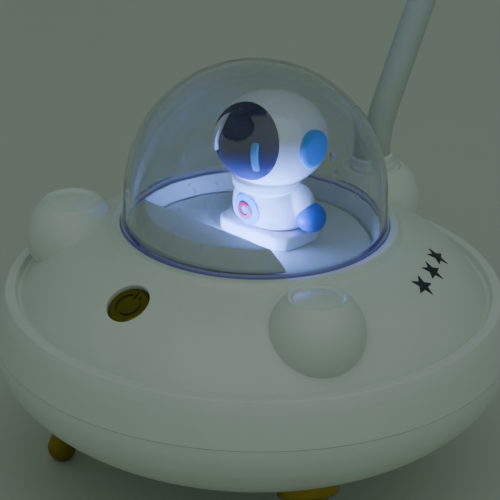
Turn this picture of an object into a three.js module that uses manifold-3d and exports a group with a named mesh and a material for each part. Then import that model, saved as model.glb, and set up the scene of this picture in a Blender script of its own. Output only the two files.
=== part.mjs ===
// A saucer-shaped desk lamp and night light. Millimetres, +z up, z = 0 is the table.
// The saucer's axis is the z axis. The front, with the power button, faces -y; the gooseneck stands at +y.
import * as THREE from 'three';
import { mergeVertices } from 'three/addons/utils/BufferGeometryUtils.js';
import Module from 'manifold-3d';

const wasm = await Module();
wasm.setup();

// ---- Driving dimensions -------------------------------------------------------------------------
const GAP = 0.3; // clearance between pieces that sit on or in each other
const WALL = 2; // moulded shell thickness

const SEAM_Z = 46.2; // where the upper and lower shells meet
const SEAM_R = 68.1;
const SEAT_Z = 77; // rim the dome rises from

const DOME_R = 35;
const DOME_WALL = 1.5;
const DOME_SKIRT = 8.5; // straight height below the hemisphere
const DOME_FLANGE = 0.6; // how far the foot ring stands proud
const DOME_FLANGE_H = 3.8;

const DECK_Z = 72.3; // cockpit floor
const DECK_R = 30.2;
const TUB_R = 33;
const CONSOLE_TOP = 82.4;
const CONSOLE_BACK = 18.8; // distance of the console's flat back from the axis

const PLINTH_TOP = 76;
const HELMET = { y: 5.3, z: 99, a: 15, b: 12.4 };
const VISOR = { z: 100.5, halfWidth: 11.6, halfHeight: 9.4 };

const POD_R = 12.3;
const POD_OUT = 49; // pod centre to saucer axis
const POD_Z = 68;
const POD_TOP = 77.3;
const SPOKES = { left: 210, right: 330, back: 90 }; // directions of the pods and of the legs

const BUTTON_R = 5.5;
const BUTTON_OUT = 47.7;
const BUTTON_Z = 70.2;
const BUTTON_TILT = 31; // the button lies square to the sloping shell
const BUTTON_TRAVEL = 0.8;

const LEG_OUT = 45.4;
const LEG_TOP_Z = 23.2;
const LEG_SPLAY = 20;
const LEG_TIP_R = 3.9;
const LEG_FLAT_R = 1.7; // worn flat the lamp stands on

const NECK_R = 3.75;
const NECK_LEAN = 28; // backward lean above the collar
const NECK_DROOP = 15; // how far the tip points below the horizontal
const NECK_RISE = 54; // length up to the start of the big arc
const NECK_ARC_R = 80.4;
const NECK_HINGES = [12, 50, 88, 126, 164, 202]; // arc lengths from the top of the back pod
const NECK_INSIDE = 23; // length hidden in the pod and shell

const HEAD_R = 30;
const HEAD_OFFSET = 33; // neck tip to head centre
const HEAD_RISE = 1; // neck axis above the head's middle plane

// Facets round a full circle.
const WIDE = 36;
const MIDDLE = 24;
const SMALL = 16;
const TINY = 10;

// ---- Materials ----------------------------------------------------------------------------------
const finish = (color, roughness, metalness = 0, extra = {}) =>
  new THREE.MeshStandardMaterial({ color, roughness, metalness, ...extra });
const whiteShell = finish(0xe9ebe8, 0.35);
const whiteFigure = finish(0xf4f5f6, 0.2);
const clearPlastic = finish(0xf3f7fa, 0.05, 0, { transparent: true, opacity: 0.2 });
const gold = finish(0xb08a2e, 0.25, 1);
const blue = finish(0x2f9fe0, 0.35);
const paleBlue = finish(0x7fcdf0, 0.35);
const red = finish(0xe23a5c, 0.4);
const darkVisor = finish(0x0c0f2e, 0.08);
const glint = finish(0xffffff, 0.3);
const cyan = finish(0x35b6dd, 0.3);
const sleeve = finish(0xd4d6d2, 0.6);
const frosted = finish(0xf5f7ff, 0.5, 0, { transparent: true, opacity: 0.9 });
const steel = finish(0x9a9c9e, 0.35, 1);
const board = finish(0x1f5f3a, 0.5);
const blackPlastic = finish(0x1b1c1e, 0.5);
const cellWrap = finish(0x2a6fb0, 0.4);

// ---- Solids -------------------------------------------------------------------------------------
const rad = THREE.MathUtils.degToRad;

// A closed three.js geometry as a manifold solid with its faces pointing out.
function solid(geometry) {
  const bare = geometry.clone();
  bare.deleteAttribute('normal');
  bare.deleteAttribute('uv');
  const merged = mergeVertices(bare, 1e-4);
  const index = Array.from(merged.index.array);
  const kept = [];
  for (let i = 0; i < index.length; i += 3) {
    const [a, b, c] = index.slice(i, i + 3);
    if (a !== b && b !== c && c !== a) kept.push(a, b, c);
  }
  const vertProperties = Float32Array.from(merged.attributes.position.array);
  const make = (triangles) =>
    new wasm.Manifold(new wasm.Mesh({ numProp: 3, vertProperties, triVerts: Uint32Array.from(triangles) }));
  const body = make(kept);
  if (body.volume() > 0) return body;
  const flipped = [];
  for (let i = 0; i < kept.length; i += 3) flipped.push(kept[i], kept[i + 2], kept[i + 1]);
  return make(flipped);
}

function geometryOf(body) {
  const mesh = body.getMesh();
  const geometry = new THREE.BufferGeometry();
  geometry.setAttribute('position', new THREE.BufferAttribute(Float32Array.from(mesh.vertProperties), 3));
  geometry.setIndex(new THREE.BufferAttribute(Uint32Array.from(mesh.triVerts), 1));
  geometry.computeVertexNormals();
  return geometry;
}

// A profile of [radius, z] points turned round the z axis. It starts and ends on the axis or closes on itself.
function turned(profile, segments = MIDDLE) {
  const points = profile.map(([r, z]) => new THREE.Vector2(r, z));
  return solid(new THREE.LatheGeometry(points, segments).rotateX(Math.PI / 2));
}

function disc(radius, z0, z1, segments = SMALL) {
  return turned([[0, z0], [radius, z0], [radius, z1], [0, z1]], segments);
}

function ring(inner, outer, z0, z1, segments = SMALL) {
  return turned([[inner, z0], [outer, z0], [outer, z1], [inner, z1], [inner, z0]], segments);
}

function box(x0, x1, y0, y1, z0, z1) {
  const geometry = new THREE.BoxGeometry(x1 - x0, y1 - y0, z1 - z0);
  return solid(geometry.translate((x0 + x1) / 2, (y0 + y1) / 2, (z0 + z1) / 2));
}

function ball(radius, x, y, z, segments = 14) {
  const geometry = new THREE.SphereGeometry(radius, segments, segments / 2);
  return solid(geometry.translate(x, y, z));
}

function ellipsoid(a, b, y, z, grow = 0, segments = MIDDLE) {
  const geometry = new THREE.SphereGeometry(1, segments, segments / 2).rotateX(Math.PI / 2);
  return solid(geometry.scale(a + grow, a + grow, b + grow).translate(0, y, z));
}

function rod(from, to, radius, segments = SMALL) {
  const a = new THREE.Vector3(...from);
  const b = new THREE.Vector3(...to);
  const geometry = new THREE.CylinderGeometry(radius, radius, a.distanceTo(b), segments);
  const turn = new THREE.Quaternion().setFromUnitVectors(
    new THREE.Vector3(0, 1, 0), b.clone().sub(a).normalize());
  geometry.applyQuaternion(turn);
  return solid(geometry.translate(...a.add(b).multiplyScalar(0.5).toArray()));
}

// A flat outline in x and y, raised from z0 to z1.
function plate(shape, z0, z1, curveSegments = 6) {
  const geometry = new THREE.ExtrudeGeometry(shape, { depth: z1 - z0, bevelEnabled: false, curveSegments });
  return solid(geometry.translate(0, 0, z0));
}

function moved(body, matrix) {
  return body.transform(matrix.elements);
}

function around(body, degrees) {
  return body.rotate([0, 0, degrees]);
}

// ---- Scene graph --------------------------------------------------------------------------------
const lamp = new THREE.Group();

function add(name, body, material, parent = lamp) {
  const mesh = new THREE.Mesh(geometryOf(body), material);
  mesh.name = name;
  parent.add(mesh);
  return mesh;
}

// ---- Saucer shells ------------------------------------------------------------------------------
const upperOutside = [
  [35.9, SEAT_Z - 0.2], [37.2, SEAT_Z - 0.2], [37.8, 75.4], [42, 73.4], [47.7, 70.2], [52, 67.2],
  [56, 63.5], [60.4, 57.7], [61.6, 57.1], [63, 58], [64.2, 58.2], [66.2, 56.2], [67.2, 52],
  [SEAM_R, SEAM_Z + 0.15],
];
const upperInside = [
  [SEAM_R - WALL, SEAM_Z + 0.15], [SEAM_R - WALL, 49], [65.2, 52], [63.9, 55.2], [61, 54.8], [58.6, 56.7],
  [54.6, 61.7], [50.7, 65.5], [46.6, 68.4], [41, 71.5], [35.9, 73.9],
];
const lowerOutside = [
  [SEAM_R, SEAM_Z - 0.15], [67.9, 42.5], [66.5, 38.4], [63, 33.6], [57.8, 29.3],
  [51, 25.3], [43, 22.6], [36, 21.4], [28, 21], [0, 21],
];
const lowerInside = [
  [0, 23], [28, 23], [35.6, 23.4], [42.3, 24.6], [50, 27.2], [56.5, 31], [61.4, 35.2], [64.3, 39.6],
];
const TONGUE_R = SEAM_R - WALL - GAP;
const TONGUE_TOP = SEAM_Z + 2.4;

const BOSS_OUT = 54;
const BOSS_ANGLES = [0, 120, 240];
const BOSS_FOOT = 34;
const SCREW_HOLE_R = 1.8;
const CASE_SCREW_Z = 30.3; // underside of the case screws' heads

// Heights below are measured in from the button's face.
const STEM_END = -6.6;
const SWITCH_TOP = -7.6;
const SWITCH_BOARD_TOP = -11.1;
const BOARD_POST_X = 8.5;

const MAIN_BOARD_Z = 39.2;
const MAIN_POST_X = 10.5;
const MAIN_POST_Y = 46;

const buttonFrame = new THREE.Matrix4()
  .makeTranslation(0, -BUTTON_OUT, BUTTON_Z)
  .multiply(new THREE.Matrix4().makeRotationX(rad(BUTTON_TILT)));

const legFrame = new THREE.Matrix4()
  .makeTranslation(LEG_OUT, 0, LEG_TOP_Z)
  .multiply(new THREE.Matrix4().makeRotationY(Math.PI - rad(LEG_SPLAY)));

// The solid inside an outer profile that runs from its pole to the seam, carried on to a level z.
function filled(profile, z) {
  return turned([[0, profile[0][1]], ...profile, [SEAM_R, z], [0, z]], WIDE);
}

function upperShell() {
  let shell = turned([...upperOutside, ...upperInside, upperOutside[0]], WIDE);
  const within = filled(upperOutside, BOSS_FOOT);
  for (const angle of BOSS_ANGLES) {
    const boss = ring(SCREW_HOLE_R, 3.4, BOSS_FOOT, 66, TINY).translate(BOSS_OUT, 0, 0);
    shell = shell.add(around(boss, angle).intersect(within));
  }
  for (const x of [-BOARD_POST_X, BOARD_POST_X]) {
    const post = rod([x, 0, -1.5], [x, 0, SWITCH_BOARD_TOP + 0.2], 1.5, TINY);
    shell = shell.add(moved(post, buttonFrame));
  }
  shell = shell.subtract(moved(disc(BUTTON_R + GAP, -6, 6), buttonFrame));
  return shell.subtract(rod([0, POD_OUT, 50], [0, POD_OUT, 80], NECK_R + GAP));
}

const SOCKET = { halfWidth: 4.5, halfHeight: 1.6, z: 42.6, front: 67.4, depth: 7.4 };

function socketShape(grow) {
  const w = SOCKET.halfWidth + grow;
  const h = SOCKET.halfHeight + grow;
  const shape = new THREE.Shape();
  shape.absarc(w - h, 0, h, -Math.PI / 2, Math.PI / 2);
  shape.absarc(h - w, 0, h, Math.PI / 2, Math.PI * 1.5);
  shape.closePath();
  return shape;
}

// The charging socket's outline as a bar along y.
function socketBar(grow, y0, y1) {
  return plate(socketShape(grow), -y1, -y0).rotate([90, 0, 0]).translate(0, 0, SOCKET.z);
}

function lowerShell() {
  const tongue = [
    [TONGUE_R - 1.4, 41], [TONGUE_R - 1.4, TONGUE_TOP], [TONGUE_R, TONGUE_TOP], [TONGUE_R, SEAM_Z - 0.15],
  ];
  let shell = turned([...lowerOutside, ...lowerInside, ...tongue, lowerOutside[0]], WIDE);
  const within = filled([...lowerOutside].reverse(), SEAM_Z);
  for (const angle of BOSS_ANGLES) {
    const boss = disc(5, 22, BOSS_FOOT - GAP, TINY).translate(BOSS_OUT, 0, 0);
    const hole = disc(SCREW_HOLE_R, 20, 40, TINY).translate(BOSS_OUT, 0, 0);
    const counterbore = disc(3.2, 20, CASE_SCREW_Z + GAP, TINY).translate(BOSS_OUT, 0, 0);
    shell = shell.add(around(boss, angle).intersect(within)).subtract(around(hole.add(counterbore), angle));
  }
  for (const x of [-MAIN_POST_X, MAIN_POST_X]) {
    shell = shell.add(rod([x, MAIN_POST_Y, 25.5], [x, MAIN_POST_Y, MAIN_BOARD_Z - GAP], 2, TINY));
  }
  for (const angle of Object.values(SPOKES)) {
    shell = shell.subtract(around(moved(disc(SCREW_HOLE_R, -6, 3, TINY), legFrame), angle));
  }
  return shell.subtract(socketBar(GAP, 55, 80));
}

// The solid inside an outer profile, grown by the working gap: what a piece on the shell is trimmed by.
function envelope(profile, segments) {
  const grown = profile.map(([r, z], i) => {
    const [r0, z0] = profile[Math.max(i - 1, 0)];
    const [r1, z1] = profile[Math.min(i + 1, profile.length - 1)];
    const length = Math.hypot(r1 - r0, z1 - z0);
    return [Math.max(r - (GAP * (z1 - z0)) / length, 0), z + (GAP * (r1 - r0)) / length];
  });
  return turned([[0, grown[0][1]], ...grown, [0, grown.at(-1)[1]]], segments);
}

function lowerEnvelope() {
  const grown = lowerOutside.slice(0, -1).map(([r, z]) => [r * (1 + GAP / SEAM_R), z - GAP * 1.1]);
  return turned([[0, SEAM_Z], [SEAM_R, SEAM_Z], ...grown, [0, 21 - GAP * 1.1]], WIDE);
}

add('upper_shell', upperShell(), whiteShell);
add('lower_shell', lowerShell(), whiteShell);

// ---- Pods: hollow caps on the upper shell -------------------------------------------------------
function podCap(holeRadius) {
  const lip = POD_TOP;
  const topR = Math.sqrt(POD_R ** 2 - (POD_TOP - POD_Z) ** 2);
  const arc = [];
  for (let i = 0; i <= 6; i++) {
    const low = -Math.PI / 2;
    const high = Math.asin((POD_TOP - 0.5 - POD_Z) / POD_R);
    const t = low + ((high - low) * i) / 6;
    arc.push([POD_R * Math.cos(t), POD_Z + POD_R * Math.sin(t)]);
  }
  const recess = [[topR - 0.4, lip], [topR - 1.3, lip], [topR - 1.9, lip - 0.5], [0, lip - 0.5]];
  arc[0][0] = 0;
  const outside = turned([...arc, ...recess]);
  const inside = ball(POD_R - WALL, 0, 0, POD_Z).subtract(box(-9, 9, -9, 9, lip - WALL - 0.5, 90));
  const shellSolid = envelope(upperOutside, WIDE).translate(-POD_OUT, 0, 0);
  let cap = outside.subtract(inside).subtract(shellSolid);
  if (holeRadius) cap = cap.subtract(disc(holeRadius, 60, 90));
  return cap.translate(POD_OUT, 0, 0);
}

for (const [side, angle] of Object.entries(SPOKES)) {
  const hole = side === 'back' ? NECK_R + GAP : 0;
  add(`pod_cap_${side}`, around(podCap(hole), angle), whiteShell);
}

// ---- Dome and cockpit ---------------------------------------------------------------------------
function dome() {
  const centre = SEAT_Z + DOME_SKIRT;
  const foot = 74.6;
  const profile = [[DOME_R - DOME_WALL, foot], [DOME_R + DOME_FLANGE, foot]];
  profile.push([DOME_R + DOME_FLANGE, SEAT_Z + DOME_FLANGE_H - 0.4], [DOME_R, SEAT_Z + DOME_FLANGE_H]);
  const steps = 8;
  for (let i = 0; i <= steps; i++) {
    const t = (Math.PI / 2) * (i / steps);
    profile.push([i === steps ? 0 : DOME_R * Math.cos(t), centre + DOME_R * Math.sin(t)]);
  }
  const inner = DOME_R - DOME_WALL;
  for (let i = steps; i >= 0; i--) {
    const t = (Math.PI / 2) * (i / steps);
    profile.push([i === steps ? 0 : inner * Math.cos(t), centre + inner * Math.sin(t)]);
  }
  profile.push(profile[0]);
  return turned(profile, WIDE);
}

const tubProfile = [
  [0, 68.8], [TUB_R, 68.8], [34.2, 71.2], [38, 71.2], [38, 72.3], [35.6, 73.4], [35.6, 74.3],
  [TUB_R, 74.3], [TUB_R, 76.8], [TUB_R - 0.6, 76.8], [31.3, 72.2], [31.3, 70.2], [0, 70.2],
];

function consoleSegment(grow) {
  const profile = [
    [0, DECK_Z + GAP], [29.8 - grow, DECK_Z + GAP], [30.6 - grow, SEAT_Z + 0.1],
    [33.1 - grow * 2, SEAT_Z + 0.1], [28.6 - grow, CONSOLE_TOP - grow], [0, CONSOLE_TOP - grow],
  ];
  const front = box(-40, 40, -40, -CONSOLE_BACK - grow, 60, 90);
  return turned(profile, WIDE).intersect(front);
}

function plinthShape() {
  const shape = new THREE.Shape();
  const frontY = -1.8;
  const corners = [[10.9, frontY], [14.4, 7.4], [12.4, 13.8], [7.5, 17.6]];
  shape.moveTo(0, frontY);
  for (const [x, y] of corners) shape.lineTo(x, y);
  for (const [x, y] of corners.reverse()) shape.lineTo(-x, y);
  shape.closePath();
  return shape;
}

add('dome', dome(), clearPlastic);
add('cockpit_tub', turned(tubProfile, WIDE), whiteShell);
add('cockpit_deck', disc(DECK_R, 70.4, DECK_Z, WIDE), whiteShell);
const CONSOLE_WALL = 1.5;
const consoleHollow = consoleSegment(CONSOLE_WALL).add(
  consoleSegment(CONSOLE_WALL).translate(0, 0, -CONSOLE_WALL));
add('console', consoleSegment(0).subtract(consoleHollow), whiteShell);
add('plinth', plate(plinthShape(), DECK_Z + 0.1, PLINTH_TOP), whiteShell);

const LIGHT_BOARD_Y = -CONSOLE_BACK + GAP;
add('cockpit_light_board', box(-14, 14, LIGHT_BOARD_Y, LIGHT_BOARD_Y + 1, DECK_Z + GAP, 79), board);
const LIGHT_Y = LIGHT_BOARD_Y + 1 + 0.1;
add('cockpit_light', box(-9, 9, LIGHT_Y, LIGHT_Y + 1.2, 73.6, 76), frosted);

// ---- The figure ---------------------------------------------------------------------------------
// Torso outline as rings of [z, centre y, half width, half depth].
const torsoRings = [
  [PLINTH_TOP + 0.1, 6.5, 10, 7.6], [77.4, 6.4, 10.8, 8.6], [79.6, 6.2, 11, 9], [82.2, 6, 10.5, 8.9],
  [84.6, 5.7, 9.5, 8.4], [86.6, 5.4, 8.3, 7.7],
];

function loft(rings, grow, segments = MIDDLE) {
  const positions = [];
  const index = [];
  const rows = rings.map(([z, y, a, b], row) => {
    const lift = row === 0 ? -grow : row === rings.length - 1 ? grow : 0;
    for (let i = 0; i < segments; i++) {
      const t = (2 * Math.PI * i) / segments;
      positions.push((a + grow) * Math.cos(t), y + (b + grow) * Math.sin(t), z + lift);
    }
    return row * segments;
  });
  for (let row = 0; row + 1 < rows.length; row++) {
    for (let i = 0; i < segments; i++) {
      const a = rows[row] + i;
      const b = rows[row] + ((i + 1) % segments);
      index.push(a, b, b + segments, a, b + segments, a + segments);
    }
  }
  for (const [row, turn] of [[0, 1], [rows.length - 1, 0]]) {
    const centre = positions.length / 3;
    positions.push(0, rings[row][1], rings[row][0] + (row === 0 ? -grow : grow));
    for (let i = 0; i < segments; i++) {
      const a = rows[row] + i;
      const b = rows[row] + ((i + 1) % segments);
      index.push(centre, turn ? b : a, turn ? a : b);
    }
  }
  const geometry = new THREE.BufferGeometry();
  geometry.setAttribute('position', new THREE.Float32BufferAttribute(positions, 3));
  geometry.setIndex(index);
  return solid(geometry);
}

const helmetSolid = (grow) => ellipsoid(HELMET.a, HELMET.b, HELMET.y, HELMET.z, grow);

// A capsule-ended arm from shoulder to wrist.
function limb(points, radii) {
  let body = ball(radii[0], ...points[0], TINY);
  for (let i = 1; i < points.length; i++) {
    body = body.add(rod(points[i - 1], points[i], Math.min(radii[i - 1], radii[i]), TINY));
    body = body.add(ball(radii[i], ...points[i], TINY));
  }
  return body;
}

const NECK_RING_R = 9.8;
const NECK_RING_Y = HELMET.y + 0.1;
const GLOVE_R = 3.8;
const GLOVE_Z = PLINTH_TOP + GLOVE_R + 0.1;
const glovePlaces = { left: [13.2, 6.8, GLOVE_Z], right: [-11.9, 10.2, GLOVE_Z] };
const armPlaces = {
  left: [[8.2, 6.6, 85.4], [10.8, 6.8, 83.6], [12.6, 6.8, 81.4]],
  right: [[-8.2, 7.2, 85.4], [-10.4, 8.8, 83.6], [-11.4, 9.8, 81.4]],
};

function figureBody() {
  let body = loft(torsoRings, 0);
  for (const side of ['left', 'right']) body = body.add(limb(armPlaces[side], [2.3, 2.4, 2.3]));
  for (const side of ['left', 'right']) body = body.subtract(ball(GLOVE_R + GAP, ...glovePlaces[side]));
  const collarRoom = disc(NECK_RING_R + GAP, 86.6, 92, MIDDLE).translate(0, NECK_RING_Y, 0);
  return body.subtract(collarRoom).subtract(helmetSolid(GAP));
}

function collarRing() {
  const profile = [
    [5, 86.9], [8.6, 86.9], [9.5, 87.5], [NECK_RING_R, 88.4], [9.5, 89.4], [9, 89.9], [5, 89.9], [5, 86.9],
  ];
  return turned(profile).translate(0, NECK_RING_Y, 0).subtract(helmetSolid(0.15));
}

// A bar along y with the visor's elliptical outline, in front of the helmet's middle.
function visorBar(grow) {
  const shape = new THREE.Shape();
  shape.absellipse(0, 0, VISOR.halfWidth + grow, VISOR.halfHeight + grow, 0, Math.PI * 2);
  return plate(shape, -HELMET.y - 0.5, 30, 10).rotate([90, 0, 0]).translate(0, 0, VISOR.z);
}

const visorSkin = helmetSolid(0.25).subtract(helmetSolid(-0.6));

function onFace(x, z, w, h, lift, tilt = 0) {
  const bar = box(-w / 2, w / 2, -30, HELMET.y, -h / 2, h / 2).rotate([0, tilt, 0]).translate(x, 0, z);
  return bar.intersect(helmetSolid(lift + 0.35)).subtract(helmetSolid(lift));
}

function crescent() {
  const outer = rodAlongY(9.3, 1.6, VISOR.z - 1);
  const inner = rodAlongY(9.3, 3.3, VISOR.z - 1.6);
  const window = box(-20, -5.2, -30, HELMET.y, 92.5, 107);
  return outer.subtract(inner).intersect(window).intersect(helmetSolid(0.75)).subtract(helmetSolid(0.35));
}

function rodAlongY(radius, x, z) {
  return rod([x, -30, z], [x, HELMET.y, z], radius, MIDDLE);
}

function earPad(side) {
  const sign = side === 'left' ? 1 : -1;
  const x = HELMET.a;
  const pad = turned([[0, -4], [5, -4], [5.2, 0.2], [4.7, 0.9], [3.4, 1.25], [0, 1.4]]);
  const facing = pad.rotate([0, 90 * sign, 0]).translate(sign * (x - 0.9), HELMET.y - 0.3, 99.9);
  return facing.subtract(helmetSolid(0.12));
}

const CHEST = { z: 81, y: 6.1, panel: 4.1 };

function chestDisc(outer, inner, lift, thick) {
  const bar = rod([0, -10, CHEST.z], [0, CHEST.y, CHEST.z], outer, MIDDLE);
  let piece = loft(torsoRings, lift + thick).intersect(bar).subtract(loft(torsoRings, lift));
  if (inner) piece = piece.subtract(rod([0, -20, CHEST.z], [0, CHEST.y, CHEST.z], inner));
  return piece;
}

add('figure_body', figureBody(), whiteFigure);
add('figure_neck_ring', collarRing(), whiteFigure);
const helmetBody = helmetSolid(0).subtract(visorBar(0.15).subtract(helmetSolid(-0.9)));
add('figure_helmet', helmetBody, whiteFigure);
add('figure_visor', visorSkin.intersect(visorBar(0)), darkVisor);
add('visor_stripe', onFace(5.9, 98.9, 1.5, 7.4, 0.35, 2), cyan);
add('visor_crescent', crescent(), glint);
for (const side of ['left', 'right']) {
  add(`ear_pad_${side}`, earPad(side), blue);
  add(`glove_${side}`, ball(GLOVE_R, ...glovePlaces[side]), blue);
}
add('chest_panel', chestDisc(CHEST.panel, 0, 0.12, 0.45), paleBlue);
add('chest_ring', chestDisc(2.4, 1.25, 0.67, 0.4), red);

// ---- Power button and its switch ----------------------------------------------------------------
const buttonProfile = [
  [0, STEM_END], [2, STEM_END], [2, -4.2], [6.5, -4.2], [6.5, -3.3], [BUTTON_R, -3.3], [BUTTON_R, -0.6],
  [BUTTON_R - 0.4, -0.2], [0, -0.2],
];
add('power_button', moved(turned(buttonProfile), buttonFrame), gold);
const plungerTop = STEM_END - 0.15;
const plungerFoot = SWITCH_TOP - 1.4;
add('switch_plunger', moved(disc(1.7, plungerFoot, plungerTop, TINY), buttonFrame), blackPlastic);
const plungerBore = disc(1.7 + GAP, plungerFoot - BUTTON_TRAVEL - GAP, SWITCH_TOP + 1, TINY);
const switchBody = box(-3, 3, -3, 3, SWITCH_BOARD_TOP + 0.1, SWITCH_TOP).subtract(plungerBore);
add('button_switch', moved(switchBody, buttonFrame), blackPlastic);
const switchBoard = box(-10.5, 10.5, -6, 6, SWITCH_BOARD_TOP - 1.6, SWITCH_BOARD_TOP);
add('button_board', moved(switchBoard, buttonFrame), board);

// ---- Legs ---------------------------------------------------------------------------------------
const tipCentreZ = Math.sqrt(LEG_TIP_R ** 2 - LEG_FLAT_R ** 2);
const legReach = (LEG_TOP_Z - tipCentreZ) / Math.cos(rad(LEG_SPLAY));

function legBody() {
  const profile = [
    [0, -4], [8, -4], [8, 2.1], [7.6, 2.5], [6.2, 3], [5.2, 4], [4.6, 5.6], [4.3, 8], [4.1, 11],
  ];
  const steps = 4;
  for (let i = 0; i <= steps; i++) {
    const t = (Math.PI / 2) * (i / steps);
    profile.push([i === steps ? 0 : LEG_TIP_R * Math.cos(t), legReach + LEG_TIP_R * Math.sin(t)]);
  }
  const blank = moved(turned(profile, 18), legFrame);
  const drilled = blank.subtract(moved(disc(SCREW_HOLE_R, -6, 7.6, TINY), legFrame));
  const below = box(-90, 90, -90, 90, -20, 0);
  return drilled.subtract(lowerEnvelope()).subtract(below);
}

function screw(headR, headH, shankR, length) {
  return turned([[0, -headH], [headR, -headH], [headR, 0], [shankR, 0], [shankR, length], [0, length]], TINY);
}

for (const [side, angle] of Object.entries(SPOKES)) {
  add(`leg_${side}`, around(legBody(), angle), gold);
  const legScrew = screw(2.8, 1.8, 1.5, 9.2).translate(0, 0, -2.6);
  add(`leg_screw_${side}`, around(moved(legScrew, legFrame), angle), steel);
}

BOSS_ANGLES.forEach((angle, i) => {
  const caseScrew = screw(2.8, 2, 1.5, 16).translate(BOSS_OUT, 0, CASE_SCREW_Z);
  add(`case_screw_${i + 1}`, around(caseScrew, angle), steel);
});

// ---- Inside the saucer --------------------------------------------------------------------------
add('ballast_plate', disc(27, 23.3, 27.3, MIDDLE), steel);
const CELL = { r: 9.2, half: 32.5, y: -4, z: 39 };
const cradleBlock = box(-26, 26, CELL.y - 11.5, CELL.y + 11.5, 27.6, CELL.z - 2);
const cellBar = (grow, half) => rod([-half, CELL.y, CELL.z], [half, CELL.y, CELL.z], CELL.r + grow);
add('cell_cradle', cradleBlock.subtract(cellBar(GAP, 40)), blackPlastic);
add('battery_cell', cellBar(0, CELL.half), cellWrap);
add('main_board', box(-14, 14, 34, 61.5, MAIN_BOARD_Z, MAIN_BOARD_Z + 1.5), board);
const socketCan = socketBar(0, SOCKET.front - SOCKET.depth, SOCKET.front - 1);
const socketMouth = socketBar(-0.35, SOCKET.front - SOCKET.depth + 1, SOCKET.front + 1);
add('charging_socket', socketCan.subtract(socketMouth), steel);

// ---- Gooseneck ----------------------------------------------------------------------------------
const arcTurn = rad(90 + NECK_DROOP + NECK_LEAN);
const NECK_LENGTH = NECK_RISE + NECK_ARC_R * arcTurn;

// Angle from the vertical, positive leaning back, at a length s along the neck.
function neckAngle(s) {
  const easing = THREE.MathUtils.smoothstep(s, 1, 21);
  if (s < NECK_RISE) return rad(NECK_LEAN) * easing;
  return rad(NECK_LEAN) - (s - NECK_RISE) / NECK_ARC_R;
}

// Point on the neck's centre line, in the plane x = 0.
function neckPoint(s) {
  const steps = Math.max(Math.ceil(Math.abs(s)), 1);
  const ds = s / steps;
  let y = POD_OUT;
  let z = POD_TOP;
  for (let i = 0; i < steps; i++) {
    const angle = neckAngle((i + 0.5) * ds);
    y += Math.sin(angle) * ds;
    z += Math.cos(angle) * ds;
  }
  return new THREE.Vector3(0, y, z);
}

function neckTube(s0, s1, radius) {
  const count = Math.max(Math.round((s1 - s0) / 7), 2);
  const points = [];
  for (let i = 0; i <= count; i++) points.push(neckPoint(s0 + ((s1 - s0) * i) / count));
  const section = new THREE.Shape().absarc(0, 0, radius, 0, Math.PI * 2);
  const extrudePath = new THREE.CatmullRomCurve3(points);
  return solid(new THREE.ExtrudeGeometry(section, { steps: count, curveSegments: 6, extrudePath }));
}

function neckLink(s0, s1, isLast) {
  let link = neckTube(s0, s1, NECK_R);
  if (s0 > 0) link = link.subtract(ball(NECK_R + GAP, ...neckPoint(s0).toArray()));
  if (!isLast) link = link.add(ball(NECK_R - 0.02, ...neckPoint(s1).toArray()));
  return link;
}

const neckRoot = neckTube(0, NECK_HINGES[0], NECK_R)
  .add(ball(NECK_R - 0.02, ...neckPoint(NECK_HINGES[0]).toArray()))
  .add(rod([0, POD_OUT, POD_TOP - NECK_INSIDE], [0, POD_OUT, POD_TOP + 0.5], NECK_R, TINY + 2));
add('neck_root', neckRoot, sleeve);

const NECK_TIP = NECK_LENGTH + 4;
NECK_HINGES.forEach((s0, i) => {
  const isLast = i === NECK_HINGES.length - 1;
  const s1 = isLast ? NECK_LENGTH : NECK_HINGES[i + 1];
  let link = neckLink(s0, s1, isLast);
  if (isLast) {
    const end = neckPoint(NECK_LENGTH);
    const past = new THREE.Vector3(0, -Math.cos(rad(NECK_DROOP)), -Math.sin(rad(NECK_DROOP)));
    const tip = end.clone().addScaledVector(past, NECK_TIP - NECK_LENGTH);
    link = link.add(rod(end.clone().addScaledVector(past, -0.5).toArray(), tip.toArray(), NECK_R, TINY + 2));
  }
  add(`neck_link_${i + 1}`, link, sleeve);
});

const collarProfile = [
  [NECK_R + GAP, POD_TOP - 0.3], [5.9, POD_TOP - 0.3], [5.9, POD_TOP + 0.3], [5.4, POD_TOP + 1.1],
  [5, POD_TOP + 2.6], [4.8, POD_TOP + 4.4], [NECK_R + GAP, POD_TOP + 4.4], [NECK_R + GAP, POD_TOP - 0.3],
];
add('neck_collar', turned(collarProfile).translate(0, POD_OUT, 0), whiteShell);
const nut = disc(6.5, 56, 59, 6).translate(0, POD_OUT, 0);
add('neck_nut', nut.subtract(rod([0, POD_OUT, 50], [0, POD_OUT, 80], NECK_R + GAP)), steel);

// ---- Lamp head ----------------------------------------------------------------------------------
// Built level at the origin, then tilted with the neck's tip; the neck comes in from +y.
const tipEnd = neckPoint(NECK_LENGTH);
const droop = rad(NECK_DROOP);
const headCentre = new THREE.Vector3(
  0,
  tipEnd.y - HEAD_OFFSET * Math.cos(droop) + HEAD_RISE * Math.sin(droop),
  tipEnd.z - HEAD_OFFSET * Math.sin(droop) - HEAD_RISE * Math.cos(droop),
);
const head = new THREE.Group();
head.position.copy(headCentre);
head.rotation.x = droop;
lamp.add(head);

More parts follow.
